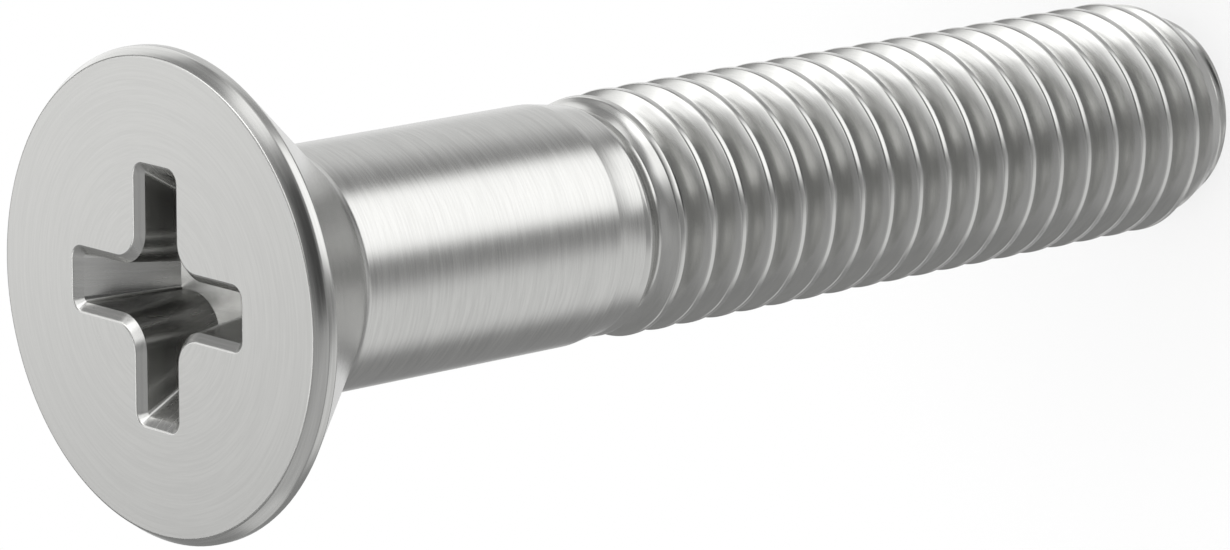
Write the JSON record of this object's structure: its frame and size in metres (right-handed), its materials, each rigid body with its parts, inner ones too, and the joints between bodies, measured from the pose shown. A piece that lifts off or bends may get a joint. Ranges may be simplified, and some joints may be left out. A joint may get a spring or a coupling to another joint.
{
  "type": "countersunk machine screw",
  "caption": "Countersunk metal machine screw with a cross drive recess, a plain shank under the head and a machine thread, for fastening flush with a surface.",
  "frame": {"origin": "centre of the flat end face at the thread end", "axes": "+Z along the screw's axis, from the thread end to the head; +X through one wing of the cross recess"},
  "size_m": [0.0116, 0.0116, 0.0334],
  "materials": {
    "screw": "turned stainless steel, satin, with fine turning marks"
  },
  "bodies": {
    "root": {"screw": "screw"}
  },
  "joints": []
}
